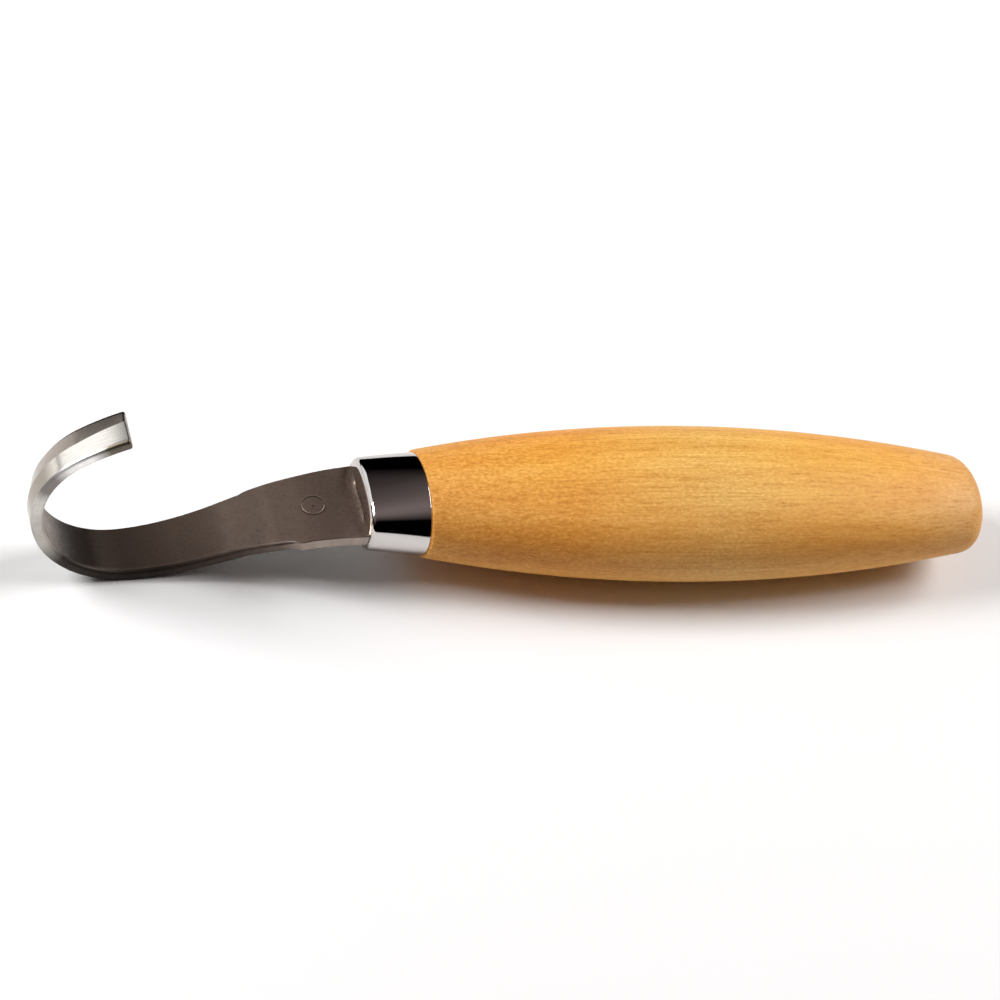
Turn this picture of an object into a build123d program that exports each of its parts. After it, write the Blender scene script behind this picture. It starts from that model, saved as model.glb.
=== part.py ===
from build123d import *
import os
from math import ceil, copysign, cos, pi, radians, sin, sqrt

# Hook knife for hollowing spoons and bowls: a strip of stainless steel rolled up into a hook, held by a
# tapered tang in a turned birch handle with a drawn metal ferrule. Millimetres.
#
# The knife is drawn about the handle's axis first: X runs along the handle from the ferrule's front face
# to the butt, the hook curls up towards +Z, and the cutting edge is on the +Y side. At the end it is
# moved to its own frame: lying on a table at z = 0, with the origin below the middle of its outline.

# Driving dimensions: handle and ferrule. Heights are half thicknesses along Z; across Y both are wider.
OVAL_RATIO = 1.4             # width of the handle's oval over its thickness
HANDLE_HALF = 10.4           # at the thickest place
HANDLE_FRONT_HALF = 7.05     # at the shoulder behind the ferrule
HANDLE_BUTT_HALF = 6.2       # where the barrel would meet the end face, before rounding
HANDLE_WIDEST_AT = 56.5      # from the ferrule's front face
BUTT_AT = 109.0              # from the ferrule's front face
BUTT_DOME_RADIUS = 25.0
BUTT_CORNER_RADIUS = 4.5
SHOULDER_ROUND = 0.45
FERRULE_LENGTH = 10.0
FERRULE_FRONT = (8.2, 5.0)   # half width and half thickness at the front, before rounding
FERRULE_REAR = (9.5, 6.8)
FERRULE_FRONT_EXPONENT = 2.6 # above 2, flatter sides than an ellipse: the front is pressed flat
FERRULE_WALL = 0.8
FERRULE_ROUND = 0.95
OVAL_POINTS = 24             # along the outline of the ferrule's front and rear

# Driving dimensions: hole and tang.
HOLE_RADIUS = 3.4
HOLE_DEPTH = 70.0            # of the full diameter, from the ferrule's front face
DRILL_POINT = 2.0
TANG_LENGTH = 62.0
TANG_HALF_FRONT = 3.2
TANG_HALF_END = 2.0
TANG_POINT = 4.0             # length of the chamfered end
TANG_OVERLAP = 1.5           # how far the tang's blank runs into the strip that it is one piece with
SLOT_GAP = 0.1               # between the tang and the ferrule's slot, all round

# Driving dimensions: strip and hook.
STRIP_THICKNESS = 2.0
ROOT_STRAIGHT = 2.8
DIP_ANGLE = 25.0             # slope of the flat stretch, down and away from the handle
DIP_RADIUS = 28.0
RISE_RADIUS = 41.0
CURL_RADIUS = 18.0
CURL_ANGLE = 84.0
RETURN_RADIUS = 13.9         # the curl tightens where it turns back
RETURN_ANGLE = 58.0
TIP_RADIUS = 38.0            # and opens out at the tip
TIP_ANGLE = 11.6
EDGE_LAND = 0.15             # steel left standing at the cutting edge
SECTION_SPACING = 3.0        # between the cross-sections that shape the two long edges
SECTION_MARGIN = 0.6         # how far those cross-sections stand out of the strip's faces

# Along the strip: distance from the root, then from the axis to the cutting edge and to the spine.
OUTLINE = [
    (0.0, 7.2, 8.0),
    (9.0, 5.7, 8.2),
    (22.0, 4.4, 6.5),
    (44.0, 1.4, 7.6),
    (66.0, -0.4, 8.2),
    (89.0, -0.4, 8.4),
]
# Along the strip: distance from the root, then the width of the bevel ground on the outer face.
BEVEL = [(0.0, 0.2), (19.0, 0.2), (30.0, 1.8), (46.0, 2.4), (66.0, 4.3), (80.0, 4.2), (89.0, 3.4)]

# The hook's lowest bend and the handle's belly touch the table together, so the drop of the strip
# is fixed by the handle's thickness, and the flat stretch is as long as that drop needs.
DROP = HANDLE_HALF - STRIP_THICKNESS / 2
ARC_DROP = (DIP_RADIUS + RISE_RADIUS) * (1 - cos(radians(DIP_ANGLE)))
FLAT_STRETCH = (DROP - ARC_DROP) / sin(radians(DIP_ANGLE))

# The strip's centre line from the root to the tip: length of each run and how far it turns, in degrees.
RUNS = [
    (ROOT_STRAIGHT, 0.0),
    (DIP_RADIUS * radians(DIP_ANGLE), -DIP_ANGLE),
    (FLAT_STRETCH, 0.0),
    (RISE_RADIUS * radians(DIP_ANGLE), DIP_ANGLE),
    (CURL_RADIUS * radians(CURL_ANGLE), CURL_ANGLE),
    (RETURN_RADIUS * radians(RETURN_ANGLE), RETURN_ANGLE),
    (TIP_RADIUS * radians(TIP_ANGLE), TIP_ANGLE),
]
STRIP_LENGTH = sum(length for length, turn in RUNS)


def advance(x, z, heading, length, turn):
    """Follow a run of the centre line from a point and a heading, both in the XZ plane."""
    if turn == 0:
        return x - length * cos(radians(heading)), z + length * sin(radians(heading)), heading
    radius = length / radians(turn)
    end = heading + turn
    x -= radius * (sin(radians(end)) - sin(radians(heading)))
    z -= radius * (cos(radians(end)) - cos(radians(heading)))
    return x, z, end


def centre(distance):
    """Place and heading of the strip's centre line at a distance from the root."""
    x, z, heading = 0.0, 0.0, 0.0
    for length, turn in RUNS:
        share = min(1.0, distance / length)
        x, z, heading = advance(x, z, heading, length * share, turn * share)
        distance -= length * share
        if distance <= 0:
            break
    return x, z, heading


def on_strip(distance, across, inwards):
    """Point at a distance along the strip, across it (+Y) and inwards, towards the curl's centre."""
    x, z, heading = centre(distance)
    return Vector(x + inwards * sin(radians(heading)), across, z + inwards * cos(radians(heading)))


def smooth(table, distance):
    """Value of a table at a distance, on a smooth curve through all of its points."""
    starts = [row[0] for row in table]
    last = len(table) - 2
    index = max(i for i in range(last + 1) if starts[i] <= distance or i == 0)
    before, after = table[index], table[index + 1]
    span = after[0] - before[0]
    part = (distance - before[0]) / span
    slopes = []
    for place in (index, index + 1):
        left, right = table[max(place - 1, 0)], table[min(place + 1, last + 1)]
        slopes.append(span * (right[1] - left[1]) / (right[0] - left[0]))
    rise = after[1] - before[1]
    bend = slopes[0] * part * (1 - part) ** 2 - slopes[1] * part ** 2 * (1 - part)
    return before[1] + rise * part ** 2 * (3 - 2 * part) + bend


def to_edge(distance):
    return smooth([(row[0], row[1]) for row in OUTLINE], distance)


def to_spine(distance):
    return smooth([(row[0], row[2]) for row in OUTLINE], distance)


def bevel_width(distance):
    """Width of the bevel: it grows straight from one row of the table to the next."""
    for before, after in zip(BEVEL, BEVEL[1:]):
        if distance <= after[0]:
            share = (distance - before[0]) / (after[0] - before[0])
            return before[1] + share * (after[1] - before[1])
    return BEVEL[-1][1]


def side_edges(inwards):
    """One face of the strip seen from the side, as lines and arcs from the root to the tip."""
    edges = []
    start = 0.0
    for length, turn in RUNS:
        places = [on_strip(start + length * share, 0, inwards) for share in (0.0, 0.5, 1.0)]
        edges.append(ThreePointArc(*places) if turn else Line(places[0], places[2]))
        start += length
    return edges


def rolled_band():
    """The strip before its long edges are cut: a band of even thickness, rolled up at the end."""
    half = STRIP_THICKNESS / 2
    inner = side_edges(half)
    outer = side_edges(-half)
    root = Line(on_strip(0, 0, -half), on_strip(0, 0, half))
    tip = Line(on_strip(STRIP_LENGTH, 0, -half), on_strip(STRIP_LENGTH, 0, half))
    face = make_face(Wire(inner + outer + [root, tip]))
    width = 2 * max(max(row[1:]) for row in OUTLINE)
    return extrude(face, amount=width, dir=(0, 1, 0), both=True)


def lofted(corners):
    """Solid through cross-sections that are set square to the strip all along it."""
    count = ceil(STRIP_LENGTH / SECTION_SPACING)
    places = [STRIP_LENGTH * i / count for i in range(count + 1)]
    sections = []
    for place in places:
        points = [on_strip(place, across, inwards) for across, inwards in corners(place)]
        sections.append(make_face(Polyline(*points, close=True)))
    return loft(sections)


def outline_corners(place):
    high = STRIP_THICKNESS / 2 + SECTION_MARGIN
    edge, spine = to_edge(place), -to_spine(place)
    return [(edge, high), (spine, high), (spine, -high), (edge, -high)]


def bevel_corners(place):
    """Triangle on the outer side of the edge. Its long side is the bevel, run on past both ends."""
    half = STRIP_THICKNESS / 2
    width = bevel_width(place)
    edge = to_edge(place)
    depth = STRIP_THICKNESS - EDGE_LAND
    past = SECTION_MARGIN
    along = (edge + past * width / depth, half - EDGE_LAND + past)
    back = (edge - width - past * width / depth, -half - past)
    return [along, back, (edge + STRIP_THICKNESS, back[1])]


def make_tang():
    half = STRIP_THICKNESS / 2
    outline = Polyline(
        (-TANG_OVERLAP, TANG_HALF_FRONT),
        (0, TANG_HALF_FRONT),
        (TANG_LENGTH - TANG_POINT, TANG_HALF_END),
        (TANG_LENGTH, TANG_HALF_END / 2),
        (TANG_LENGTH, -TANG_HALF_END / 2),
        (TANG_LENGTH - TANG_POINT, -TANG_HALF_END),
        (0, -TANG_HALF_FRONT),
        (-TANG_OVERLAP, -TANG_HALF_FRONT),
        close=True,
    )
    return extrude(make_face(outline), amount=half, dir=(0, 0, 1), both=True)


def make_blade():
    strip = rolled_band() & lofted(outline_corners)
    strip = strip - lofted(bevel_corners)
    return strip + make_tang()


def oval_section(x, half_width, half_thickness, exponent):
    """Outline square to X: an ellipse at exponent 2, with flatter sides above that."""
    points = []
    for i in range(OVAL_POINTS):
        angle = 2 * pi * i / OVAL_POINTS
        across = copysign(abs(cos(angle)) ** (2 / exponent), cos(angle))
        up = copysign(abs(sin(angle)) ** (2 / exponent), sin(angle))
        points.append((x, half_width * across, half_thickness * up))
    return make_face(Spline(*points, periodic=True))


def ferrule_cone(inset, front_at):
    """The ferrule's outside, or its inside when inset by the wall, from a place to its rear rim."""
    share = front_at / FERRULE_LENGTH
    front = [a + share * (b - a) - inset for a, b in zip(FERRULE_FRONT, FERRULE_REAR)]
    rear = [half - inset for half in FERRULE_REAR]
    exponent = FERRULE_FRONT_EXPONENT + share * (2 - FERRULE_FRONT_EXPONENT)
    return loft([oval_section(front_at, *front, exponent), oval_section(FERRULE_LENGTH, *rear, 2)])


def in_profile(x, half):
    return Vector(x, 0, half)


def barrel_point(x):
    """Point on the handle's barrel, an arc forward and an arc back from its thickest place."""
    ends = ((FERRULE_LENGTH, HANDLE_FRONT_HALF), (BUTT_AT, HANDLE_BUTT_HALF))
    end, end_half = ends[x > HANDLE_WIDEST_AT]
    chord, sag = end - HANDLE_WIDEST_AT, HANDLE_HALF - end_half
    radius = (chord ** 2 + sag ** 2) / (2 * sag)
    return in_profile(x, HANDLE_HALF - radius + sqrt(radius ** 2 - (x - HANDLE_WIDEST_AT) ** 2))


def barrel_arc(start, end):
    return ThreePointArc(barrel_point(start), barrel_point((start + end) / 2), barrel_point(end))


def rounded(face, corner, radius):
    """Round the corner of a flat face that lies nearest to a point."""
    vertex = face.vertices().sort_by(lambda v: (Vector(v) - corner).length)[0]
    return fillet(vertex, radius)


def hole():
    """The blind hole drilled for the tang, from the ferrule's front wall to the drill's point."""
    length = HOLE_DEPTH - FERRULE_WALL
    drilled = Cylinder(HOLE_RADIUS, length) + Pos(Z=(length + DRILL_POINT) / 2) * Cone(
        HOLE_RADIUS, 0, DRILL_POINT
    )
    return Pos(X=FERRULE_WALL + length / 2) * Rot(Y=90) * drilled


def make_handle():
    """Turned barrel with a domed butt, and the spigot that is cut down to fill the ferrule."""
    end_sag = BUTT_DOME_RADIUS - sqrt(BUTT_DOME_RADIUS ** 2 - HANDLE_BUTT_HALF ** 2)
    mid_half = HANDLE_BUTT_HALF / 2
    mid_sag = BUTT_DOME_RADIUS - sqrt(BUTT_DOME_RADIUS ** 2 - mid_half ** 2)
    shoulder = in_profile(FERRULE_LENGTH, 0)
    butt_corner = barrel_point(BUTT_AT)
    butt_middle = in_profile(BUTT_AT + end_sag, 0)
    outline = [
        Line(shoulder, barrel_point(FERRULE_LENGTH)),
        barrel_arc(FERRULE_LENGTH, HANDLE_WIDEST_AT),
        barrel_arc(HANDLE_WIDEST_AT, BUTT_AT),
        ThreePointArc(butt_corner, in_profile(BUTT_AT + end_sag - mid_sag, mid_half), butt_middle),
        Line(butt_middle, shoulder),
    ]
    profile = make_face(Wire(outline))
    profile = rounded(profile, barrel_point(FERRULE_LENGTH), SHOULDER_ROUND)
    profile = rounded(profile, butt_corner, BUTT_CORNER_RADIUS)
    barrel = scale(revolve(profile, axis=Axis.X), by=(1, OVAL_RATIO, 1))
    return barrel + ferrule_cone(FERRULE_WALL, FERRULE_WALL) - hole()


def make_ferrule():
    outside = ferrule_cone(0, 0)
    front_rim = outside.edges().sort_by(Axis.X)[0]
    outside = fillet(front_rim, FERRULE_ROUND)
    slot = Box(
        4 * FERRULE_WALL,
        2 * (TANG_HALF_FRONT + SLOT_GAP),
        STRIP_THICKNESS + 2 * SLOT_GAP,
    )
    return outside - ferrule_cone(FERRULE_WALL, FERRULE_WALL) - slot


def make_adhesive(tang):
    return hole() - tang


def main():
    parts = {
        "blade": make_blade(),
        "ferrule": make_ferrule(),
        "handle": make_handle(),
        "tang_adhesive": make_adhesive(make_tang()),
    }
    box = Compound(list(parts.values())).bounding_box()
    lift = Pos(-(box.min.X + box.max.X) / 2, -(box.min.Y + box.max.Y) / 2, HANDLE_HALF)
    os.makedirs("parts", exist_ok=True)
    for node, solid in parts.items():
        export_step(lift * solid, f"parts/{node}.step")
        print(node, "volume", round(solid.volume), "mm3")
    print("moved by", lift.position)


main()
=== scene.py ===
# %% [markdown]
# # A hook knife for hollowing spoons
#
# A hook knife cuts the bowl of a spoon. It is a strip of stainless steel, rolled up into a hook and ground
# on the outside, with a tang that is glued into a turned birch handle. A drawn metal ferrule keeps the
# front of the handle from splitting.
#
# This lesson builds its looks on top of a imported CAD model. The CAD model is the frame: it says where
# everything is and how big it is. Here each visible piece is made again with finer edges, gets its
# finish from nodes, and is measured against its CAD solid as it is made. The first cell loads the frame
# and lists its nodes.

from math import atan2, ceil, copysign, cos, pi, radians, sin, sqrt
from types import SimpleNamespace

import bmesh
import bpy
from mathutils import Matrix, Vector
from mathutils.bvhtree import BVHTree


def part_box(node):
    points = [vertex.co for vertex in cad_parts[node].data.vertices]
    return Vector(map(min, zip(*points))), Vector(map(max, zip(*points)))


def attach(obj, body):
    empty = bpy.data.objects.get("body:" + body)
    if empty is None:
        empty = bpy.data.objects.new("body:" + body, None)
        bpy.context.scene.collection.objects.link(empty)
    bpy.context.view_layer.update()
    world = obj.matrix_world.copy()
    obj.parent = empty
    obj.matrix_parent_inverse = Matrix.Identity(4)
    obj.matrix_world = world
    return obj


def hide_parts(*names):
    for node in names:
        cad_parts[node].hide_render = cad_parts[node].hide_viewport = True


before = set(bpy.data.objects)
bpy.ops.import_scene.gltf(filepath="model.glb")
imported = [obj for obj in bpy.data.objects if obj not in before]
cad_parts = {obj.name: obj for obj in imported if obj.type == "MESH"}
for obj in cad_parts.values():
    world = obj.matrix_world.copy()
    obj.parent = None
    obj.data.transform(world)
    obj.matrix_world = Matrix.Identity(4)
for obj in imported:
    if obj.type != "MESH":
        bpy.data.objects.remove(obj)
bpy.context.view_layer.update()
print("CAD nodes:", sorted(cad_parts))

# %% [markdown]
# ## A place to measure from
#
# A knife is easiest to draw about its handle: X runs back along the handle from the front face of the
# ferrule, Y goes across, Z goes up through the thickness, all in millimetres. The ferrule's box in the
# frame tells where that point is in the scene. One helper carries a finished mesh there, so every object
# itself can stay at the origin with no turn and no scale.

# %% Find the ferrule and make the helper that places a mesh
MM = 0.001
ferrule_low, ferrule_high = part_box("ferrule")
front_centre = Vector((ferrule_low.x, 0, (ferrule_low.z + ferrule_high.z) / 2))


def place(bm):
    """Carry a mesh drawn in millimetres about the handle to its place in the scene."""
    bmesh.ops.scale(bm, vec=(MM, MM, MM), verts=bm.verts)
    bmesh.ops.translate(bm, vec=front_centre, verts=bm.verts)


def make_piece(name, bm, node, materials):
    """Turn a finished bmesh into a piece that stands for a CAD node."""
    for face in bm.faces:
        face.smooth = True
    mesh = bpy.data.meshes.new(name)
    bm.to_mesh(mesh)
    bm.free()
    piece = bpy.data.objects.new(name, mesh)
    flats_stay_flat = piece.modifiers.new("flats_stay_flat", "WEIGHTED_NORMAL")
    flats_stay_flat.keep_sharp = True
    bpy.context.scene.collection.objects.link(piece)
    for material in materials:
        mesh.materials.append(material)
    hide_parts(node)
    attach(piece, "root")
    return piece


def mark_crisp(bm, angle):
    """Edges sharper than an angle in degrees keep a crisp line in the shading."""
    for edge in bm.edges:
        edge.smooth = edge.calc_face_angle(0) < radians(angle)


def compare(bm, node):
    """Furthest distance in mm from a placed mesh to the CAD solid that it stands for."""
    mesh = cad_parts[node].data
    corners = [v.co for v in mesh.vertices]
    faces = [p.vertices for p in mesh.polygons]
    tree = BVHTree.FromPolygons(corners, faces)
    return max(tree.find_nearest(v.co)[3] for v in bm.verts) / MM


print("ferrule's front centre in mm:", [round(value / MM, 2) for value in front_centre])

# %% [markdown]
# ## Helpers for the finishes
#
# Every finish below is a small tree of nodes, so a few short helpers keep the cells readable: one adds a
# node with its settings, one sets up a stretched noise, and one turns a number into a colour. Anything
# that is the same all over, such as a metal's roughness when it doesn't vary, is typed into the shader's
# own socket.

# %% Helpers that build node trees
def new_material(name):
    material = bpy.data.materials.new(name)
    material.use_nodes = True
    tree = material.node_tree
    return material, tree, tree.nodes["Principled BSDF"]


def add(tree, kind, **settings):
    """Add a node. A setting's name is the node's own attribute."""
    node = tree.nodes.new("ShaderNode" + kind)
    for name, value in settings.items():
        setattr(node, name, value)
    return node


def stretched(tree, coordinates, scale):
    """Scale a pattern differently along each axis."""
    mapping = add(tree, "Mapping")
    mapping.inputs["Scale"].default_value = scale
    tree.links.new(coordinates, mapping.inputs["Vector"])
    return mapping.outputs["Vector"]


def noise(tree, vector, scale, detail=3, roughness=0.5, distortion=0.0):
    node = add(tree, "TexNoise")
    node.inputs["Scale"].default_value = scale
    node.inputs["Detail"].default_value = detail
    node.inputs["Roughness"].default_value = roughness
    node.inputs["Distortion"].default_value = distortion
    tree.links.new(vector, node.inputs["Vector"])
    return node.outputs["Fac"]


def ramp(tree, factor, stops):
    """Colours, or greys when a stop is one number, at places between 0 and 1."""
    node = add(tree, "ValToRGB")
    while len(node.color_ramp.elements) < len(stops):
        node.color_ramp.elements.new(0.5)
    for element, (place_on_ramp, colour) in zip(node.color_ramp.elements, stops):
        element.position = place_on_ramp
        element.color = (*colour, 1) if isinstance(colour, tuple) else (colour, colour, colour, 1)
    tree.links.new(factor, node.inputs["Fac"])
    return node.outputs["Color"]


def math(tree, operation, first, second=None, clamp=False):
    node = add(tree, "Math", operation=operation, use_clamp=clamp)
    for socket, value in zip(node.inputs, (first, second)):
        if value is None:
            continue
        if isinstance(value, (int, float)):
            socket.default_value = value
        else:
            tree.links.new(value, socket)
    return node.outputs["Value"]


def mix(tree, factor, first, second, blend="MIX"):
    node = add(tree, "Mix", data_type="RGBA", blend_type=blend)
    for name, value in (("Factor", factor), ("A", first), ("B", second)):
        sockets = [s for s in node.inputs if s.name == name and s.enabled]
        if isinstance(value, (int, float)):
            sockets[0].default_value = value
        elif isinstance(value, tuple):
            sockets[0].default_value = (*value, 1)
        else:
            tree.links.new(value, sockets[0])
    return [s for s in node.outputs if s.enabled][0]


def bump(tree, shader, height, distance, strength=1.0):
    node = add(tree, "Bump")
    node.inputs["Strength"].default_value = strength
    node.inputs["Distance"].default_value = distance
    tree.links.new(height, node.inputs["Height"])
    tree.links.new(node.outputs["Normal"], shader.inputs["Normal"])
    return node


# %% [markdown]
# ## The handle's wood
#
# The handle is birch: pale, close-grained and soaked in oil, which turns it honey yellow. Its grain runs
# along the handle, so each pattern is stretched along X. Wide soft bands stand for the year rings, thin
# lines for the fibres, and fine flecks for the pores, which show most towards the ferrule. Two more ramps
# change the tone: one along the handle, where the oil has soaked in unevenly, and one from the underside
# up, a painted shade that is darker and redder low down.

# %% Oiled birch
HANDLE_HALF = 10.4
TONE_LENGTH = 110.0
YEAR_RINGS = [(0.30, (0.745, 0.360, 0.080)), (0.52, (0.850, 0.465, 0.120)), (0.72, (0.925, 0.570, 0.195))]
FIBRES = [(0.33, (0.77, 0.65, 0.47)), (0.46, (0.97, 0.95, 0.91)), (0.64, (1.07, 1.12, 1.22))]
FLECKS = [(0.34, (0.83, 0.74, 0.60)), (0.45, 0.96), (0.52, 0.98), (0.62, (1.13, 1.22, 1.55))]
# Along the handle, as a share of the tone length: the colour that the oil gives, and how much flecks show.
OIL = [
    (0.13, (0.92, 0.81, 0.53)),
    (0.30, (0.95, 0.80, 0.46)),
    (0.54, (0.95, 0.99, 0.88)),
    (0.70, (0.99, 0.95, 0.70)),
    (0.85, (1.0, 0.94, 0.71)),
    (0.95, (0.97, 0.97, 1.0)),
]
FLECKS_SHOW = [(0.08, 1.0), (0.28, 0.95), (0.42, 0.75), (0.60, 0.8), (0.72, 0.5), (0.90, 0.5)]
# Painted shade, darker and redder low down: from the underside, 0, to the top of the thickest place, 1.
PAINTED_UNDERSIDE_SHADE = [
    (0.62, (0.86, 0.78, 0.80)),
    (0.76, (0.91, 0.82, 0.85)),
    (0.86, (0.98, 0.90, 0.90)),
    (0.94, (1, 1, 1)),
]


def make_birch():
    material, tree, shader = new_material("oiled_birch")
    objects = add(tree, "TexCoord").outputs["Object"]
    rings = noise(tree, stretched(tree, objects, (7, 150, 210)), 1.0, 3, 0.5, 0.4)
    fibres = noise(tree, stretched(tree, objects, (60, 2200, 3000)), 1.0, 6, 0.75)
    flecks = noise(tree, stretched(tree, objects, (1400, 2600, 2800)), 1.0, 3, 0.6)
    axis = add(tree, "SeparateXYZ")
    tree.links.new(objects, axis.inputs["Vector"])
    share = math(tree, "SUBTRACT", axis.outputs["X"], front_centre.x)
    share = math(tree, "DIVIDE", share, TONE_LENGTH * MM, clamp=True)
    # Height from the underside, which drives the painted shade on the handle's low side.
    height = math(tree, "SUBTRACT", axis.outputs["Z"], front_centre.z - HANDLE_HALF * MM)
    height = math(tree, "DIVIDE", height, 2 * HANDLE_HALF * MM, clamp=True)
    pores = mix(tree, ramp(tree, share, FLECKS_SHOW), (1, 1, 1), ramp(tree, flecks, FLECKS))
    wood = ramp(tree, rings, YEAR_RINGS)
    for layer in (ramp(tree, fibres, FIBRES), pores, ramp(tree, share, OIL), ramp(tree, height, PAINTED_UNDERSIDE_SHADE)):
        wood = mix(tree, 1.0, wood, layer, "MULTIPLY")
    tree.links.new(wood, shader.inputs["Base Color"])
    shader.inputs["Roughness"].default_value = 0.55
    shader.inputs["Specular IOR Level"].default_value = 0.3
    bump(tree, shader, fibres, 0.00005, 0.6)
    return material


birch = make_birch()
print("made", birch.name)


# %% [markdown]
# ## Turning the handle
#
# The handle is turned, and then it is thinner one way than the other, so it is an oval all along. It is
# made as a lathe would: one ring of points is pushed along the axis again and again, and each new ring is
# set to the width and thickness that the handle has there. The barrel is two arcs that meet at the
# thickest place. The butt is a shallow dome with a rounded corner. At the front a spigot fits into the
# ferrule, and a blind hole takes the tang.

# %% Rings that are pushed along the axis
RING_POINTS = 192
RING_STEP = 1.5
ARC_STEPS = 12
# A ring this small closes to a point when near points are merged.
POINT_HALF = 0.02
MERGE_WITHIN = 0.03


def first_ring(bm):
    """A ring of points round the axis. Each point remembers which way it faces."""
    facing = bm.verts.layers.float_vector.new("facing")
    bmesh.ops.create_circle(bm, cap_ends=False, radius=1, segments=RING_POINTS)
    for vert in bm.verts:
        vert[facing] = vert.co
    return bm.edges[:]


def shape_ring(bm, verts, x, half_width, half_thickness, exponent=2.0):
    """Set a ring square to the axis. Exponent 2 is an ellipse, more has flatter sides."""
    facing = bm.verts.layers.float_vector["facing"]
    for vert in verts:
        across, up = vert[facing].x, vert[facing].y
        across = copysign(abs(across) ** (2 / exponent), across)
        up = copysign(abs(up) ** (2 / exponent), up)
        vert.co = (x, half_width * across, half_thickness * up)


def push_rings(bm, rings):
    """Push one ring through a list of (x, half width, half thickness, exponent)."""
    edges = first_ring(bm)
    first = edges
    shape_ring(bm, bm.verts, *rings[0])
    for ring in rings[1:]:
        pushed = bmesh.ops.extrude_edge_only(bm, edges=edges)["geom"]
        edges = [item for item in pushed if isinstance(item, bmesh.types.BMEdge)]
        edges = [edge for edge in edges if len(edge.link_faces) == 1]
        shape_ring(bm, {vert for edge in edges for vert in edge.verts}, *ring)
    return first, edges


# %% The handle's outline and its mesh
OVAL_RATIO = 1.4
SHOULDER_HALF = 7.05
BUTT_HALF = 6.2
WIDEST_AT = 56.5
BUTT_AT = 109.0
DOME_RADIUS = 25.0
CORNER_RADIUS = 4.5
SHOULDER_ROUND = 0.45
FERRULE_LENGTH = 10.0
FERRULE_FRONT = (8.2, 5.0)
FERRULE_REAR = (9.5, 6.8)
FRONT_EXPONENT = 2.6
FERRULE_WALL = 0.8
BORE_RADIUS = 3.4
BORE_DEPTH = 70.0
DRILL_POINT = 2.0


def barrel_arc(x):
    """Radius and centre of the barrel's arc at x: it is one arc forward and another one back."""
    end, half = ((FERRULE_LENGTH, SHOULDER_HALF), (BUTT_AT, BUTT_HALF))[x > WIDEST_AT]
    chord, sag = end - WIDEST_AT, HANDLE_HALF - half
    radius = (chord ** 2 + sag ** 2) / (2 * sag)
    return radius, Vector((WIDEST_AT, HANDLE_HALF - radius))


def barrel_half(x):
    radius, centre = barrel_arc(x)
    return centre.y + sqrt(radius ** 2 - (x - centre.x) ** 2)


def arc_points(centre, radius, start, end, count):
    angles = [start + (end - start) * i / count for i in range(count + 1)]
    return [centre + radius * Vector((cos(angle), sin(angle))) for angle in angles]


def butt_profile():
    """Rounded corner and dome, from where the corner leaves the barrel to the middle of the butt."""
    radius, barrel_centre = barrel_arc(BUTT_AT)
    dome_sag = DOME_RADIUS - sqrt(DOME_RADIUS ** 2 - BUTT_HALF ** 2)
    dome_centre = Vector((BUTT_AT + dome_sag - DOME_RADIUS, 0))
    to_barrel, to_dome = radius - CORNER_RADIUS, DOME_RADIUS - CORNER_RADIUS
    apart = dome_centre - barrel_centre
    along = (to_barrel ** 2 - to_dome ** 2 + apart.length_squared) / (2 * apart.length)
    side = sqrt(to_barrel ** 2 - along ** 2)
    unit = apart.normalized()
    corner = barrel_centre + along * unit + side * Vector((unit.y, -unit.x))
    start = corner - barrel_centre
    end = corner - dome_centre
    turn = atan2(start.y, start.x), atan2(end.y, end.x)
    points = arc_points(corner, CORNER_RADIUS, *turn, ARC_STEPS)
    dome = arc_points(dome_centre, DOME_RADIUS, turn[1], 0, ARC_STEPS)
    return points + dome[1:]


def fitted(x, inset):
    """Half width, half thickness and exponent of the ferrule's cone at x, inset by a wall."""
    share = x / FERRULE_LENGTH
    halves = [a + share * (b - a) - inset for a, b in zip(FERRULE_FRONT, FERRULE_REAR)]
    return (*halves, FRONT_EXPONENT + share * (2 - FRONT_EXPONENT))


def handle_rings():
    butt = butt_profile()
    bore_end = BORE_DEPTH + DRILL_POINT
    rings = [(bore_end, POINT_HALF, POINT_HALF, 2), (BORE_DEPTH, BORE_RADIUS, BORE_RADIUS, 2)]
    rings.append((FERRULE_WALL, BORE_RADIUS, BORE_RADIUS, 2))
    rings.append((FERRULE_WALL, *fitted(FERRULE_WALL, FERRULE_WALL)))
    rings += [(x, *fitted(x, FERRULE_WALL)) for x in (4, 7, FERRULE_LENGTH)]
    flat = SHOULDER_HALF - SHOULDER_ROUND
    rings.append((FERRULE_LENGTH, OVAL_RATIO * flat, flat, 2))
    barrel_start = FERRULE_LENGTH + SHOULDER_ROUND
    round_half = barrel_half(barrel_start) - SHOULDER_ROUND
    for angle in (0.2, 0.4, 0.6, 0.8):
        x = barrel_start - SHOULDER_ROUND * cos(angle * pi / 2)
        half = round_half + SHOULDER_ROUND * sin(angle * pi / 2)
        rings.append((x, OVAL_RATIO * half, half, 2))
    count = ceil((butt[0].x - barrel_start) / RING_STEP)
    for i in range(count):
        x = barrel_start + (butt[0].x - barrel_start) * i / count
        half = barrel_half(x)
        rings.append((x, OVAL_RATIO * half, half, 2))
    for point in butt[:-1]:
        rings.append((point.x, OVAL_RATIO * point.y, point.y, 2))
    rings.append((butt[-1].x, POINT_HALF, POINT_HALF, 2))
    return rings


handle_mesh = bmesh.new()
push_rings(handle_mesh, handle_rings())
bmesh.ops.remove_doubles(handle_mesh, verts=handle_mesh.verts, dist=MERGE_WITHIN)
bmesh.ops.recalc_face_normals(handle_mesh, faces=handle_mesh.faces)
mark_crisp(handle_mesh, 40)
place(handle_mesh)
print("handle is within", round(compare(handle_mesh, "handle"), 3), "mm of the CAD solid")
handle = make_piece("turned_handle", handle_mesh, "handle", [birch])
print("handle has", len(handle.data.polygons), "faces")

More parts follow.
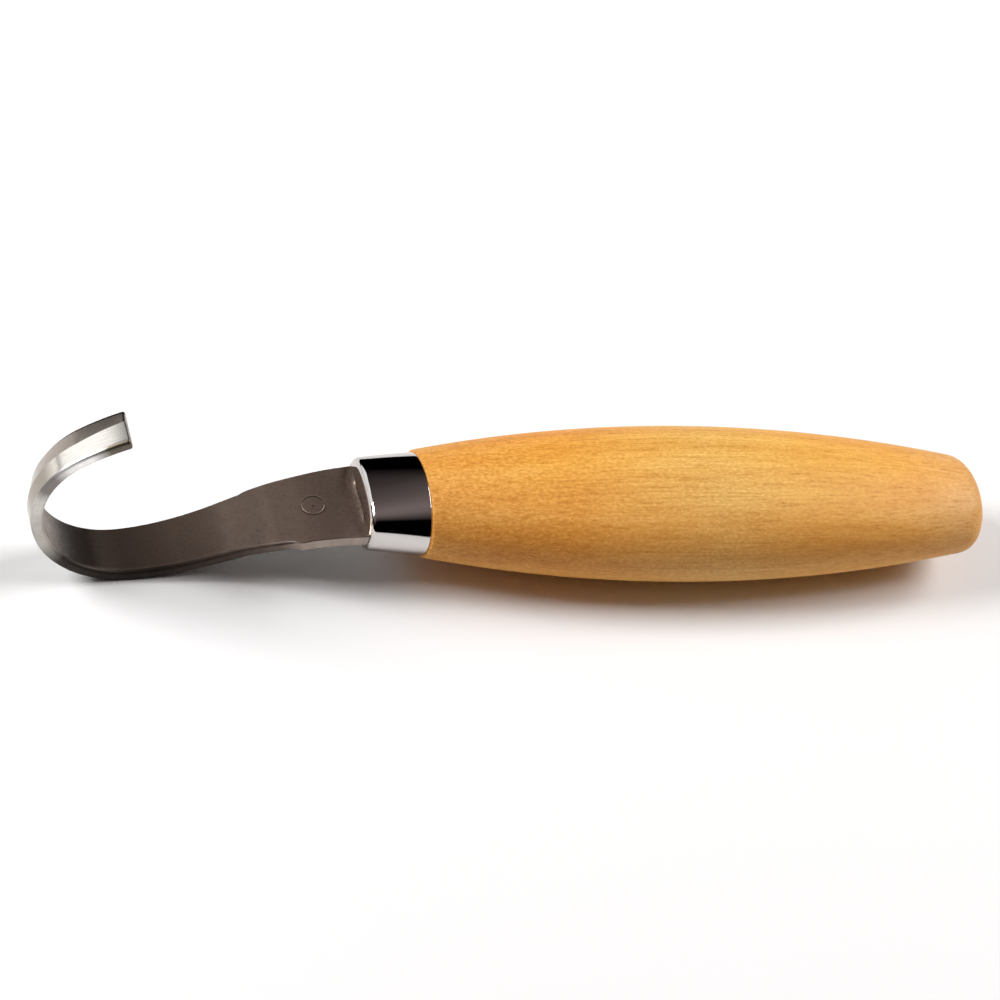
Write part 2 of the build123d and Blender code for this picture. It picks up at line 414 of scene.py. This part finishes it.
# %% [markdown]
# ## The ferrule
#
# The ferrule is a cup drawn from thin sheet and plated: an oval at its rim, pressed a little flatter at
# its front, with a rounded shoulder and a slot for the tang. The same rings make it. They start at the
# slot, run out over the shoulder and back to the rim, turn there, and return along the inside.

# %% Bright plating
def make_plating():
    material, tree, shader = new_material("bright_plating")
    objects = add(tree, "TexCoord").outputs["Object"]
    smears = noise(tree, stretched(tree, objects, (60, 160, 160)), 1.0, 3, 0.6)
    shader.inputs["Metallic"].default_value = 1.0
    shader.inputs["Base Color"].default_value = (0.60, 0.575, 0.56, 1)
    gloss = ramp(tree, smears, [(0.3, 0.05), (0.75, 0.11)])
    tree.links.new(gloss, shader.inputs["Roughness"])
    return material


plating = make_plating()
print("made", plating.name)

# %% The ferrule's rings and its mesh
FERRULE_ROUND = 0.95
SLOT_HALVES = (3.3, 1.1)
SLOT_EXPONENT = 14.0
SLOT_ROUND = 0.12
FLAT_MARGIN = 0.05
RIM_ROUND = 0.2


def shoulder_ring(share, inset, radius):
    """A ring on a rounded front shoulder, from share 0 on the front face to 1 on the cone."""
    x = radius * (1 - cos(share * pi / 2))
    drawn_in = radius * (1 - sin(share * pi / 2))
    return inset + x, *fitted(x, inset + drawn_in)


def ferrule_rings():
    flat_front = fitted(0, FERRULE_ROUND + FLAT_MARGIN)
    between = [(a + b) / 2 for a, b in zip(SLOT_HALVES, flat_front)]
    slot_mouth = [half + SLOT_ROUND for half in SLOT_HALVES]
    rings = [(SLOT_ROUND, *SLOT_HALVES, SLOT_EXPONENT), (0, *slot_mouth, SLOT_EXPONENT)]
    rings += [(0, *between, 4), (0, *flat_front)]
    rings += [shoulder_ring(i / 10, 0, FERRULE_ROUND) for i in range(11)]
    rings += [(x, *fitted(x, 0)) for x in (2.2, 4, 6, 8, 9.5, FERRULE_LENGTH - RIM_ROUND)]
    for angle in (0.33, 0.67, 1.0):
        x = FERRULE_LENGTH - RIM_ROUND + RIM_ROUND * sin(angle * pi / 2)
        rings.append((x, *fitted(FERRULE_LENGTH, RIM_ROUND * (1 - cos(angle * pi / 2)))))
    rings += [(FERRULE_LENGTH, *fitted(FERRULE_LENGTH, FERRULE_WALL))]
    rings += [(x, *fitted(x, FERRULE_WALL)) for x in (7, 4, FERRULE_WALL)]
    rings += [(FERRULE_WALL, *between, 4), (FERRULE_WALL, *SLOT_HALVES, SLOT_EXPONENT)]
    return rings


ferrule_mesh = bmesh.new()
first, last = push_rings(ferrule_mesh, ferrule_rings())
bmesh.ops.bridge_loops(ferrule_mesh, edges=first + last)
bmesh.ops.recalc_face_normals(ferrule_mesh, faces=ferrule_mesh.faces)
mark_crisp(ferrule_mesh, 50)
place(ferrule_mesh)
print("ferrule is within", round(compare(ferrule_mesh, "ferrule"), 3), "mm of the CAD solid")
ferrule = make_piece("plated_ferrule", ferrule_mesh, "ferrule", [plating])
print("ferrule has", len(ferrule.data.polygons), "faces")

# %% [markdown]
# ## The blade's blank
#
# The blade starts flat. A grid of quads is laid out along the strip, and its long edges are pulled to the
# outline that the smith cut: the spine on one side, the cutting edge on the other. The columns of the
# grid lie where something changes across the strip: round the spine, on the line where the bevel starts,
# and on the line where the narrow honed bevel starts. Its rows crowd together towards the tip, where the
# corners are small.

# %% Sizes of the strip, in millimetres
THICKNESS = 2.0
BEND_RUNS = [
    (2.8, 0.0),
    (28.0 * radians(25.0), -25.0),
    (6.945, 0.0),
    (41.0 * radians(25.0), 25.0),
    (18.0 * radians(84.0), 84.0),
    (13.9 * radians(58.0), 58.0),
    (38.0 * radians(11.6), 11.6),
]
STRIP_LENGTH = sum(length for length, turn in BEND_RUNS)
# Along the strip: distance from the ferrule, then from the axis to the cutting edge and to the spine.
OUTLINE = [
    (0.0, 7.2, 8.0),
    (9.0, 5.7, 8.2),
    (22.0, 4.4, 6.5),
    (44.0, 1.4, 7.6),
    (66.0, -0.4, 8.2),
    (89.0, -0.4, 8.4),
]
# Along the strip: distance from the ferrule, then the width of the bevel on the outer face.
BEVEL = [(0.0, 0.2), (19.0, 0.2), (30.0, 1.8), (46.0, 2.4), (66.0, 4.3), (80.0, 4.2), (89.0, 3.4)]
EDGE_LAND = 0.15
print("strip is", round(STRIP_LENGTH, 2), "mm long before it is rolled")


def smooth(table, column, distance):
    """Value of one column of a table, on a smooth curve through its rows."""
    last = len(table) - 2
    index = max(i for i in range(last + 1) if table[i][0] <= distance or i == 0)
    before, after = table[index], table[index + 1]
    span = after[0] - before[0]
    part = (distance - before[0]) / span
    slopes = []
    for row in (index, index + 1):
        left, right = table[max(row - 1, 0)], table[min(row + 1, last + 1)]
        slopes.append(span * (right[column] - left[column]) / (right[0] - left[0]))
    rise = after[column] - before[column]
    bend = slopes[0] * part * (1 - part) ** 2 - slopes[1] * part ** 2 * (1 - part)
    return before[column] + rise * part ** 2 * (3 - 2 * part) + bend


def straight(table, distance):
    """Value of a two-column table, on straight lines between its rows."""
    for before, after in zip(table, table[1:]):
        if distance <= after[0]:
            share = (distance - before[0]) / (after[0] - before[0])
            return before[1] + share * (after[1] - before[1])
    return table[-1][1]


# %% Lay out the grid and pull it to the outline
ROWS = 220
ROW_CROWDING = 1.4
SPINE_COLUMNS = 5
FLAT_COLUMNS = 12
BEVEL_COLUMNS = 5
HONED_COLUMNS = 2
BEVEL_LINE = SPINE_COLUMNS + FLAT_COLUMNS
HONED_LINE = BEVEL_LINE + BEVEL_COLUMNS
EDGE_LINE = HONED_LINE + HONED_COLUMNS
SQUARE_UNTIL = 11.1
GRIND_START = 17.6
TIP_CORNERS = 0.5
# A rise or a fall is the distance where a soft step starts and how long it is.
SHOULDER_HEIGHT, SHOULDER_RISE, SHOULDER_FALL = 0.26, (8.5, 8.5), (GRIND_START, 1.5)
BURR_HEIGHT, BURR_RISE, BURR_FALL = 0.24, (8.8, 2.2), (SQUARE_UNTIL, 0.7)
SQUARE_RADIUS, RADIUS_GAIN, RADIUS_RISE = 0.16, 0.5, (SQUARE_UNTIL, 2.0)
HONED_LEAST, HONED_GAIN, HONED_RISE = 0.04, 0.8, (GRIND_START, 5)
# The ground bevel always reaches at least this far past the honed one.
BEVEL_MARGIN = 0.12


def step(distance, start, length):
    """0 before start, 1 after it, and a soft step between."""
    share = min(1.0, max(0.0, (distance - start) / length))
    return share ** 2 * (3 - 2 * share)


def corner_cut(distance, radius):
    """How far the outline is drawn in by a rounded corner at the tip."""
    past = max(0.0, distance - (STRIP_LENGTH - radius))
    return radius - sqrt(max(0.0, radius ** 2 - past ** 2))


def cutting_side(distance):
    """The cutting edge. A small shoulder is left where the grinding starts."""
    shoulder = SHOULDER_HEIGHT * step(distance, *SHOULDER_RISE) * (1 - step(distance, *SHOULDER_FALL))
    return smooth(OUTLINE, 1, distance) + shoulder - corner_cut(distance, TIP_CORNERS)


def spine_side(distance):
    """The spine. A burr is left where its square part ends."""
    burr = BURR_HEIGHT * step(distance, *BURR_RISE) * (1 - step(distance, *BURR_FALL))
    return -smooth(OUTLINE, 2, distance) - burr + corner_cut(distance, TIP_CORNERS)


def spine_round(distance):
    """Radius of the spine's edges: square near the ferrule, rounded over from there on."""
    return SQUARE_RADIUS + RADIUS_GAIN * step(distance, *RADIUS_RISE)


def honed_width(distance):
    return HONED_LEAST + HONED_GAIN * step(distance, *HONED_RISE)


def column_place(distance, column):
    """Where a column lies across the strip, from the spine to the cutting edge."""
    spine, edge = spine_side(distance), cutting_side(distance)
    radius, honed = spine_round(distance), honed_width(distance)
    bevel = max(straight(BEVEL, distance), honed + BEVEL_MARGIN)
    if column <= SPINE_COLUMNS:
        return spine + radius * (1 - cos(column / SPINE_COLUMNS * pi / 2))
    if column <= BEVEL_LINE:
        share = (column - SPINE_COLUMNS) / FLAT_COLUMNS
        return spine + radius + (edge - bevel - spine - radius) * share
    if column <= HONED_LINE:
        return edge - bevel + (bevel - honed) * (column - BEVEL_LINE) / BEVEL_COLUMNS
    return edge - honed + honed * (column - HONED_LINE) / HONED_COLUMNS


blade_mesh = bmesh.new()
bmesh.ops.create_grid(blade_mesh, x_segments=ROWS, y_segments=EDGE_LINE, size=1)
column_of = blade_mesh.verts.layers.int.new("column")
for vert in blade_mesh.verts:
    row_share = (vert.co.x + 1) / 2
    distance = STRIP_LENGTH * (1 - (1 - row_share) ** ROW_CROWDING)
    vert[column_of] = round(EDGE_LINE * (vert.co.y + 1) / 2)
    vert.co = (distance, column_place(distance, vert[column_of]), 0)
print("blank has", len(blade_mesh.faces), "faces")

# %% [markdown]
# ## Thickness, bevels and tang
#
# The grid becomes the inner face of the blade, the hollow side, which is left flat. Extruding it gives
# the outer face. There the columns past the bevel line rise towards the edge, so two ground planes appear
# with a crisp line between them, and only a hair of steel is left at the edge. The tang is pushed out of
# the middle of the root end in three goes, so it tapers and ends in a point.

# %% Give the blank its thickness and grind it
HONED_SLOPE = 0.8
TIP_EASE = 0.2


def face_heights(distance, column):
    """Height of the inner and the outer face above the strip's middle, at a column."""
    radius = spine_round(distance)
    half = THICKNESS / 2
    if column <= SPINE_COLUMNS:
        half -= radius * (1 - sin(column / SPINE_COLUMNS * pi / 2))
    inner, outer = half, -half
    edge, place_across = cutting_side(distance), column_place(distance, column)
    bevel = edge - column_place(distance, BEVEL_LINE)
    honed = edge - column_place(distance, HONED_LINE)
    ground = THICKNESS - EDGE_LAND
    at_honed = ground - HONED_SLOPE * honed
    if column > HONED_LINE:
        outer += ground - HONED_SLOPE * (edge - place_across)
    elif column > BEVEL_LINE:
        outer += at_honed * (bevel - edge + place_across) / (bevel - honed)
    past = max(0.0, 1 - (STRIP_LENGTH - distance) / TIP_EASE)
    middle, half = (inner + outer) / 2, (inner - outer) / 2
    half *= 1 - TIP_EASE * (1 - sqrt(1 - past ** 2))
    return middle + half, middle - half


is_outer = blade_mesh.verts.layers.int.new("is_outer")
extruded = bmesh.ops.extrude_face_region(blade_mesh, geom=blade_mesh.faces[:])["geom"]
for item in extruded:
    if isinstance(item, bmesh.types.BMVert):
        item[is_outer] = 1
for vert in blade_mesh.verts:
    vert.co.z = face_heights(vert.co.x, vert[column_of])[vert[is_outer]]
bmesh.ops.recalc_face_normals(blade_mesh, faces=blade_mesh.faces)
print("ground blank is closed:", all(len(edge.link_faces) == 2 for edge in blade_mesh.edges))

# %% Push out the tang
TANG_LENGTH = 62.0
TANG_POINT = 4.0
TANG_HALF_FRONT = 3.2
TANG_HALF_END = 2.0
ROOT_STUB = 0.2


def push_tang(faces, reach, half):
    """Push faces back along the handle, drop the old ones, and set the new end's half width."""
    pushed = bmesh.ops.extrude_face_region(blade_mesh, geom=faces)["geom"]
    bmesh.ops.delete(blade_mesh, geom=faces, context="FACES")
    verts = [item for item in pushed if isinstance(item, bmesh.types.BMVert)]
    now = max(abs(vert.co.y) for vert in verts)
    for vert in verts:
        vert.co = (-reach, vert.co.y * half / now, vert.co.z)
    return [item for item in pushed if isinstance(item, bmesh.types.BMFace)]


root_end = [f for f in blade_mesh.faces if all(v.co.x < 1e-6 for v in f.verts)]
root_end = [f for f in root_end if all(abs(v.co.y) < TANG_HALF_FRONT for v in f.verts)]
root_end = push_tang(root_end, ROOT_STUB, TANG_HALF_FRONT)
root_end = push_tang(root_end, TANG_LENGTH - TANG_POINT, TANG_HALF_END)
push_tang(root_end, TANG_LENGTH, TANG_HALF_END / 2)
print("blade is still closed:", all(len(edge.link_faces) == 2 for edge in blade_mesh.edges))

# %% [markdown]
# ## Rolling the hook
#
# A steel strip keeps its length along the middle of its thickness when it is rolled. So each point of the
# flat blank is carried to the place and the slope that the middle line has at its distance from the
# ferrule. Points on the inner face move towards the centre of the bend and points on the outer face move
# away from it, which closes up the one and stretches the other, as in the workshop. Before that, the flat
# layout is kept as a UV map for the finishes, and each face is told which finish it has.

# %% Keep the flat layout and sort the faces by finish
INNER, OUTER, GROUND, HONED, SIDE = range(5)


def finish_of(face):
    columns = [vert[column_of] for vert in face.verts]
    outer = [vert[is_outer] for vert in face.verts]
    if face.calc_center_median().x < 0 or min(columns) < SPINE_COLUMNS:
        return SIDE
    if min(columns) >= BEVEL_LINE and sum(outer) and face.calc_center_median().x < GRIND_START:
        return SIDE
    if not sum(outer):
        return INNER
    if min(columns) >= HONED_LINE:
        return HONED
    if sum(outer) < len(outer):
        return SIDE
    return GROUND if min(columns) >= BEVEL_LINE else OUTER


flat_layout = blade_mesh.loops.layers.uv.new("flat_layout")
for face in blade_mesh.faces:
    face.material_index = finish_of(face)
    for loop in face.loops:
        loop[flat_layout].uv = (loop.vert.co.x * MM, loop.vert.co.y * MM)
for edge in blade_mesh.edges:
    columns = {vert[column_of] for vert in edge.verts}
    on_outer = all(vert[is_outer] for vert in edge.verts)
    ground_line = len(columns) == 1 and columns <= {BEVEL_LINE, HONED_LINE} and on_outer
    edge.smooth = not (ground_line or edge.calc_face_angle() > radians(40))
print("crisp edges:", sum(not edge.smooth for edge in blade_mesh.edges))


# %% Roll the blank
def advance(x, z, heading, length, turn):
    """Follow one run of the middle line. Angles are in degrees."""
    if turn == 0:
        return x - length * cos(radians(heading)), z + length * sin(radians(heading)), heading
    radius = length / radians(turn)
    end = heading + turn
    x -= radius * (sin(radians(end)) - sin(radians(heading)))
    z -= radius * (cos(radians(end)) - cos(radians(heading)))
    return x, z, end


def middle_line(distance):
    """Place and heading at a distance from the ferrule. The tang, before it, is straight."""
    x, z, heading = 0.0, 0.0, 0.0
    if distance < 0:
        return -distance, z, heading
    for length, turn in BEND_RUNS:
        share = min(1.0, distance / length)
        x, z, heading = advance(x, z, heading, length * share, turn * share)
        distance -= length * share
        if distance <= 1e-9:
            break
    return x, z, heading


for vert in blade_mesh.verts:
    x, z, heading = middle_line(vert.co.x)
    inwards, slope = vert.co.z, radians(heading)
    vert.co = (x + inwards * sin(slope), vert.co.y, z + inwards * cos(slope))
bmesh.ops.recalc_face_normals(blade_mesh, faces=blade_mesh.faces)
place(blade_mesh)
print("blade is within", round(compare(blade_mesh, "blade"), 3), "mm of the CAD solid")

# %% [markdown]
# ## The steel's finishes
#
# One strip shows five finishes. The inner face is satin and brown, darkened by a painted reflection of the
# dim room. The outer face is polished. The bevel is ground, with fine scratches square to the edge. The
# honed strip along the edge is smoother and goes dark towards the tip, a painted reflection. The sides are
# sheared, with painted reflections that are dark along the low bend and bright round the return, where
# the sides are also less rough. All of them read the flat layout, so their grain follows the strip round
# the hook. All but the bevel change their tone along the strip, a painted reflection that stands for
# what bent steel mirrors in a real room.

# %% Steel with a grain
def make_steel(name, colour, dark, roughness, grain, bump_height, mottle=150):
    """Steel whose fine grain has its own scale along and across the strip."""
    material, tree, shader = new_material(name)
    uv = add(tree, "UVMap", uv_map="flat_layout").outputs["UV"]
    lines = noise(tree, stretched(tree, uv, (*grain, 1)), 1.0, 4, 0.6)
    patches = noise(tree, stretched(tree, uv, (mottle, mottle, 1)), 1.0, 4, 0.6)
    tone = math(tree, "ADD", math(tree, "MULTIPLY", lines, 0.5), math(tree, "MULTIPLY", patches, 0.5))
    finish = ramp(tree, tone, [(0.36, dark), (0.62, colour)])
    tree.links.new(finish, shader.inputs["Base Color"])
    shader.inputs["Metallic"].default_value = 1.0
    low, high = roughness
    tree.links.new(ramp(tree, tone, [(0.3, high), (0.7, low)]), shader.inputs["Roughness"])
    relief = bump(tree, shader, lines, bump_height, 0.5)
    return SimpleNamespace(material=material, tree=tree, shader=shader, uv=uv, colour=finish, relief=relief)


def paint_reflections_along(steel, stops):
    """Paint reflections into a steel's tone along the strip. A stop is a distance from the ferrule in mm
    and a colour.
    """
    along = add(steel.tree, "SeparateXYZ")
    steel.tree.links.new(steel.uv, along.inputs["Vector"])
    share = math(steel.tree, "DIVIDE", along.outputs["X"], STRIP_LENGTH * MM, clamp=True)
    tone = ramp(steel.tree, share, [(distance / STRIP_LENGTH, colour) for distance, colour in stops])
    steel.colour = mix(steel.tree, 1.0, tone, steel.colour, "MULTIPLY")
    steel.tree.links.new(steel.colour, steel.shader.inputs["Base Color"])
    return share


outer = make_steel("polished_outer_steel", (0.94, 0.92, 0.88), (0.80, 0.77, 0.72), (0.16, 0.25),
                   (300, 2600), 0.000003, 90)
# Painted reflections along the outer face: a dark band from 67 to 73 mm, then a bright tip.
paint_reflections_along(outer, [(0.0, 0.5), (60.0, 0.62), (67.0, (0.38, 0.35, 0.31)), (73.0, (0.40, 0.37, 0.33)),
                   (77.0, (0.92, 0.91, 0.89)), (88.0, 1.0)])
ground = make_steel("ground_bevel_steel", (0.40, 0.345, 0.295), (0.27, 0.23, 0.195), (0.16, 0.26),
                    (5000, 300), 0.000008)
honed = make_steel("honed_edge_steel", (0.60, 0.57, 0.54), (0.45, 0.42, 0.40), (0.12, 0.2),
                   (5000, 500), 0.000004)
# Painted reflection: the honed edge goes dark towards the tip.
paint_reflections_along(honed, [(20.0, 0.5), (60.0, 1.0), (68.0, 0.8), (76.0, 0.10), (88.0, 0.06)])
honed.shader.inputs["Specular Tint"].default_value = (0.05, 0.05, 0.05, 1)
print("made", [steel.material.name for steel in (outer, ground, honed)])


# %% The inner face, with its stamp
STAMP_AT = (0.0078, -0.0008)
STAMP_RADIUS = 0.0019
STAMP_LINE = 0.00022
STAMP_DEPTH = 0.00004
DOT_SHARE = 0.6
WORN_COLOUR = (0.30, 0.24, 0.20)
# Painted reflection along the inner face, as a distance from the ferrule in mm and a tone: light near the
# ferrule, dark in the low bend.
INNER_PAINTED_REFLECTION = [
    (0.0, 0.64), (5.0, 0.8), (8.0, 0.95), (10.5, 0.95), (14.0, 0.5), (17.0, 0.38), (24.0, 0.40),
    (31.0, 0.60), (37.0, 0.42), (42.0, 0.22), (46.0, 0.06), (52.0, 0.07), (58.0, 0.3),
]


def make_inner_steel():
    """Satin brown steel, with a painted reflection along the strip. A plain ring and dot are stamped near
    the ferrule.
    """
    steel = make_steel("satin_inner_steel", (0.754, 0.5772, 0.468), (0.39, 0.2808, 0.221), (0.29, 0.42),
                       (1500, 1700), 0.00003, 480)
    paint_reflections_along(steel, INNER_PAINTED_REFLECTION)
    tree = steel.tree
    from_stamp = add(tree, "VectorMath", operation="DISTANCE")
    tree.links.new(steel.uv, from_stamp.inputs[0])
    from_stamp.inputs[1].default_value = (*STAMP_AT, 0)
    away = from_stamp.outputs["Value"]
    off_ring = math(tree, "ABSOLUTE", math(tree, "SUBTRACT", away, STAMP_RADIUS))
    nearest = math(tree, "MINIMUM", off_ring, math(tree, "MULTIPLY", away, DOT_SHARE))
    pressed = ramp(tree, math(tree, "DIVIDE", nearest, STAMP_LINE), [(0.25, 0.0), (1.0, 1.0)])
    stamp = add(tree, "Bump")
    stamp.inputs["Distance"].default_value = STAMP_DEPTH
    tree.links.new(pressed, stamp.inputs["Height"])
    tree.links.new(steel.relief.outputs["Normal"], stamp.inputs["Normal"])
    tree.links.new(stamp.outputs["Normal"], steel.shader.inputs["Normal"])
    worn = mix(tree, pressed, WORN_COLOUR, steel.colour)
    tree.links.new(worn, steel.shader.inputs["Base Color"])
    return steel.material


inner_steel = make_inner_steel()
print("made", inner_steel.name)


# %% The sides, with painted reflections: dark along the low bend and bright round the return, where they are less rough
# Painted reflections along the sides, as a distance from the ferrule in mm and a colour: bright where they
# mirror the lit floor, dark where they mirror the shadowed floor and the blade itself.
SIDE_PAINTED_REFLECTIONS = [
    (0.0, (0.36, 0.30, 0.26)),
    (11.0, (0.33, 0.27, 0.23)),
    (14.0, (0.17, 0.13, 0.11)),
    (35.0, (0.035, 0.027, 0.022)),
    (53.0, (0.05, 0.042, 0.036)),
    (59.0, (0.50, 0.48, 0.44)),
    (69.5, (0.66, 0.64, 0.60)),
    (71.5, (0.24, 0.22, 0.21)),
    (74.5, (0.26, 0.24, 0.23)),
    (77.5, (0.97, 0.96, 0.94)),
    (81.5, (0.97, 0.96, 0.94)),
    (84.5, (0.15, 0.13, 0.10)),
]


def make_side_steel():
    steel = make_steel("sheared_side_steel", (1.0, 1.0, 1.0), (0.75, 0.74, 0.73), (0.2, 0.34),
                       (400, 2500), 0.00002)
    share = paint_reflections_along(steel, SIDE_PAINTED_REFLECTIONS)
    dull = ramp(steel.tree, share, [(0.12, 0.30), (0.2, 0.6), (0.60, 0.55), (0.70, 0.42)])
    steel.tree.links.new(dull, steel.shader.inputs["Roughness"])
    return steel.material


side_steel = make_side_steel()
blade = make_piece("hook_blade", blade_mesh, "blade",
                   [inner_steel, outer.material, ground.material, honed.material, side_steel])
print("blade has", len(blade.data.polygons), "faces")

# %% [markdown]
# ## The resin round the tang
#
# The tang is set in resin. None of it shows from outside, so its CAD solid stays as it is and only gets a
# finish: dark, slightly cloudy and half glossy.

# %% Set resin
def make_resin():
    material, tree, shader = new_material("set_resin")
    objects = add(tree, "TexCoord").outputs["Object"]
    cloud = noise(tree, objects, 260.0, 3, 0.5)
    colour = ramp(tree, cloud, [(0.3, (0.05, 0.032, 0.02)), (0.7, (0.11, 0.075, 0.045))])
    tree.links.new(colour, shader.inputs["Base Color"])
    shader.inputs["Roughness"].default_value = 0.35
    return material


resin = make_resin()
resin_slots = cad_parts["tang_adhesive"].data.materials
resin_slots.clear()
resin_slots.append(resin)
print("made", resin.name)

# %% [markdown]
# ## Floor and light
#
# The knife lies on a plain pale floor. Bright metal shows the room rather than itself, so the light is
# planned by what each surface mirrors: a raised light on the left and another on the right, a large faint
# panel behind the hook for its polished back, and a dim ceiling for the top of the ferrule.

# %% Floor, world and lights
def make_floor():
    bm = bmesh.new()
    bmesh.ops.create_grid(bm, x_segments=1, y_segments=1, size=4)
    mesh = bpy.data.meshes.new("floor")
    bm.to_mesh(mesh)
    bm.free()
    floor = bpy.data.objects.new("floor", mesh)
    bpy.context.scene.collection.objects.link(floor)
    material, _, shader = new_material("pale_floor")
    shader.inputs["Base Color"].default_value = (0.93, 0.93, 0.93, 1)
    shader.inputs["Roughness"].default_value = 0.9
    shader.inputs["Specular IOR Level"].default_value = 0.1
    mesh.materials.append(material)


def make_world():
    """A dim warm ceiling. It is brightest nearly overhead and falls off to dark walls."""
    world = bpy.data.worlds.new("studio")
    bpy.context.scene.world = world
    world.use_nodes = True
    tree = world.node_tree
    direction = add(tree, "SeparateXYZ")
    tree.links.new(add(tree, "TexCoord").outputs["Generated"], direction.inputs["Vector"])
    across = math(tree, "MULTIPLY_ADD", direction.outputs["Y"], 0.5)
    across.node.inputs[2].default_value = 0.5
    ceiling = ramp(tree, across, [(0.18, 0.0), (0.26, 0.44), (0.34, 0.88), (0.43, 1.0), (0.60, 0.62),
                                  (0.77, 0.34), (0.84, 0.13), (0.90, 0.0)])
    height = ramp(tree, direction.outputs["Z"], [(0.25, 0.0), (0.6, 1.0)])
    glow = mix(tree, 1.0, ceiling, height, "MULTIPLY")
    colour = mix(tree, 1.0, glow, (0.245, 0.20, 0.195), "MULTIPLY")
    tree.links.new(colour, tree.nodes["Background"].inputs["Color"])


def soft_light(name, direction, distance, size, brightness):
    """A square light that looks at the knife from a direction. Brightness is how white it looks."""
    light = bpy.data.lights.new(name, "AREA")
    light.size = size
    light.energy = brightness * pi * size ** 2
    lamp = bpy.data.objects.new(name, light)
    bpy.context.scene.collection.objects.link(lamp)
    towards = Vector(direction).normalized()
    lamp.location = towards * distance
    lamp.rotation_euler = towards.to_track_quat("Z", "Y").to_euler()


make_floor()
make_world()
soft_light("left_side", (-0.78, 0.14, 0.61), 1.0, 0.38, 18.0)
soft_light("right_side", (0.74, 0.14, 0.66), 1.0, 0.55, 8.6)
soft_light("hook_panel", (-0.70, 0.62, 0.36), 1.0, 0.62, 1.15)

# %% [markdown]
# ## Camera
#
# The camera looks down on the knife from the front left and is rolled so that the handle lies level in
# the picture. It is set by two turns: first about the knife's own across axis, then about its long axis.

# %% Camera
CAMERA_TURN = radians(20)
CAMERA_TILT = radians(41)
CAMERA_DISTANCE = 0.81
PICTURE_WIDTH = 0.162
AIM_ACROSS = 23.01
AIM_UP = 0.567
facing_turn = Matrix.Rotation(CAMERA_TILT, 4, "X") @ Matrix.Rotation(-CAMERA_TURN, 4, "Y")
right, up, towards_camera = (facing_turn.col[i].to_3d() for i in range(3))
look_at = front_centre + AIM_ACROSS * MM * right + AIM_UP * MM * up
camera_data = bpy.data.cameras.new("camera")
camera_data.angle = 2 * atan2(PICTURE_WIDTH / 2, CAMERA_DISTANCE)
camera_data.clip_start = 0.01
camera = bpy.data.objects.new("camera", camera_data)
bpy.context.scene.collection.objects.link(camera)
camera.matrix_world = Matrix.Translation(look_at + CAMERA_DISTANCE * towards_camera) @ facing_turn
bpy.context.scene.camera = camera
bpy.context.scene.view_settings.view_transform = "Standard"
print("camera at", [round(value, 3) for value in camera.location])
